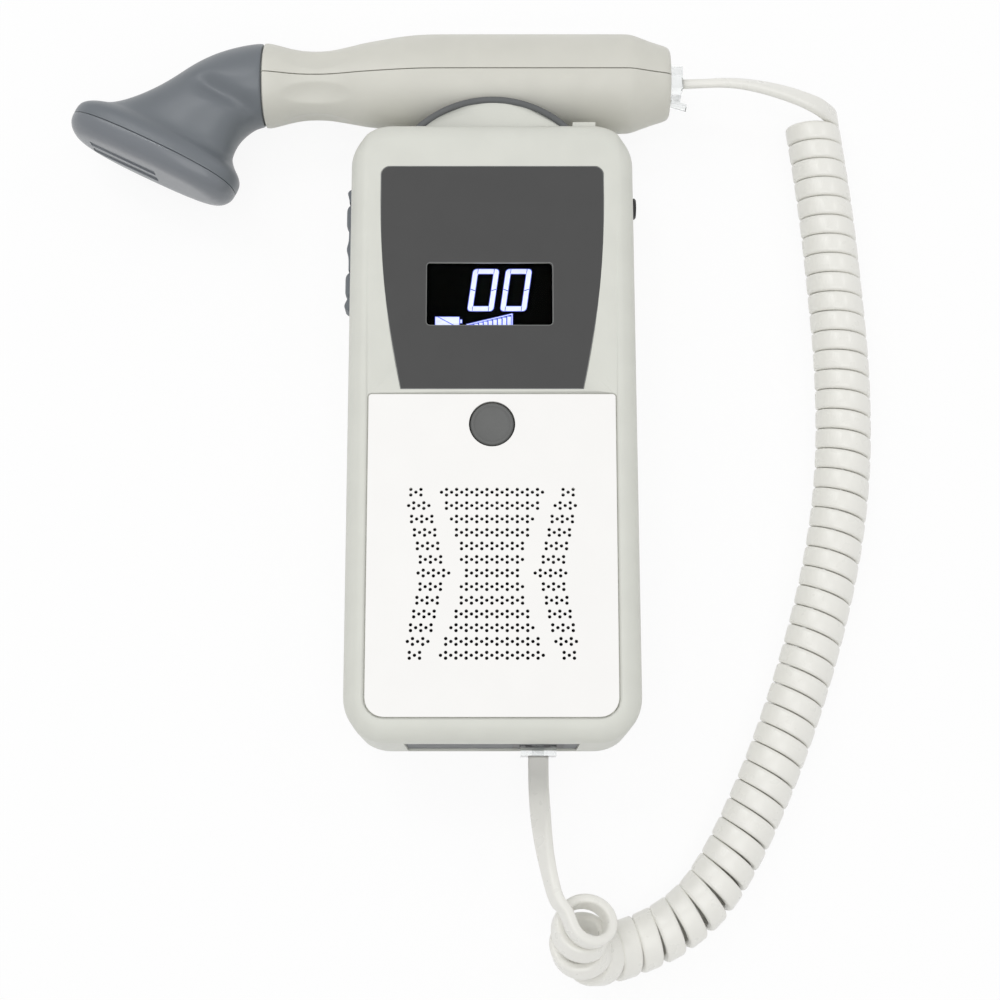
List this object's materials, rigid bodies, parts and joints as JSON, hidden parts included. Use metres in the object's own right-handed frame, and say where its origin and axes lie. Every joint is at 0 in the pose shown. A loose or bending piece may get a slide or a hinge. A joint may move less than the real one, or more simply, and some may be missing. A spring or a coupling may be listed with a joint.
{
  "type": "handheld doppler with corded probe",
  "caption": "Flat handheld Doppler unit on its back: display, perforated speaker plate and a cradle holding a wide-faced probe on a flat curly cord.",
  "frame": {"origin": "centre of the unit's flat back, which lies on the table", "axes": "+X to the headphone socket's side, +Y to the end with the probe cradle, +Z out of the display"},
  "size_m": [0.2288, 0.2641, 0.0381],
  "materials": {
    "case": "fine texture",
    "liner": "matt",
    "overlay": "satin label",
    "window": "clear",
    "plate": "satin, perforated",
    "button": "matt",
    "keypad": "matt",
    "panel": "matt",
    "jack": "matt",
    "socket": "satin",
    "steel": "plated",
    "lcd": "satin",
    "backlight": "diffuse",
    "board": "solder mask",
    "switch": "matt",
    "mesh": "woven",
    "magnet": "plated",
    "speaker": "pressed basket with a paper cone",
    "cell": "sleeve",
    "handle": "fine texture",
    "head": "satin",
    "face": "satin",
    "crystal": "fired silver",
    "backing": "cast",
    "clear": "clear moulding",
    "gold": "gold plated",
    "cord": "smooth jacket"
  },
  "bodies": {
    "unit": {"backlight": "backlight", "battery_1": "cell", "battery_2": "cell", "case_screws": "steel", "connector_panel": "panel", "cradle_liner": "liner", "curly_cord": "cord", "display_overlay": "overlay", "display_window": "window", "dust_mesh": "mesh", "front_housing": "case", "headphone_jack": "socket", "lcd_module": "lcd", "main_board": "board", "plate_contact_1": "steel", "plate_contact_2": "steel", "power_switch": "switch", "rear_housing": "case", "side_keypad": "keypad", "speaker_driver": "speaker", "speaker_magnet": "magnet", "speaker_plate": "plate", "spring_contact_1": "steel", "spring_contact_2": "steel", "unit_jack": "jack", "unit_lead": "cord", "unit_plug": "clear", "unit_plug_contacts": "gold", "volume_down_switch": "switch", "volume_up_switch": "switch"},
    "probe": {"backing_block": "backing", "probe_board": "board", "probe_face": "face", "probe_head": "head", "probe_jack": "jack", "probe_lead": "cord", "probe_lower_shell": "handle", "probe_plug": "clear", "probe_plug_contacts": "gold", "probe_upper_shell": "handle", "receive_crystal": "crystal", "transmit_crystal": "crystal"},
    "power_button": {"power_button": "button"},
    "volume_up_key": {"volume_up_key": "button"},
    "volume_down_key": {"volume_down_key": "button"},
    "battery_door": {"battery_door": "case"},
    "unit_plug_latch": {"unit_plug_latch": "clear"},
    "probe_plug_latch": {"probe_plug_latch": "clear"}
  },
  "joints": [
    {"name": "probe_lift", "type": "slide", "parent": "unit", "child": "probe", "axis": [0, 1, 0], "range_m": [0, 0.04]},
    {"name": "power_button_press", "type": "slide", "parent": "unit", "child": "power_button", "axis": [0, 0, -1], "range_m": [0, 0.0008], "stiffness_N_per_m": 800, "springref_m": -0.0005},
    {"name": "volume_up_press", "type": "slide", "parent": "unit", "child": "volume_up_key", "axis": [1, 0, 0], "range_m": [0, 0.0008], "stiffness_N_per_m": 800, "springref_m": -0.0005},
    {"name": "volume_down_press", "type": "slide", "parent": "unit", "child": "volume_down_key", "axis": [1, 0, 0], "range_m": [0, 0.0008], "stiffness_N_per_m": 800, "springref_m": -0.0005},
    {"name": "battery_door_slide", "type": "slide", "parent": "unit", "child": "battery_door", "axis": [0, -1, 0], "range_m": [0, 0.012]},
    {"name": "unit_plug_latch_bend", "type": "hinge", "parent": "unit", "child": "unit_plug_latch", "pos_m": [0.01245, -0.0763, 0.01145], "axis": [-1, 0, 0], "range_deg": [0, 8], "stiffness_Nm_per_rad": 0.05, "springref_deg": -1.15},
    {"name": "probe_plug_latch_bend", "type": "hinge", "parent": "probe", "child": "probe_plug_latch", "pos_m": [0.043, 0.10055, 0.019], "axis": [0, 0, 1], "range_deg": [0, 8], "stiffness_Nm_per_rad": 0.05, "springref_deg": -1.15}
  ]
}
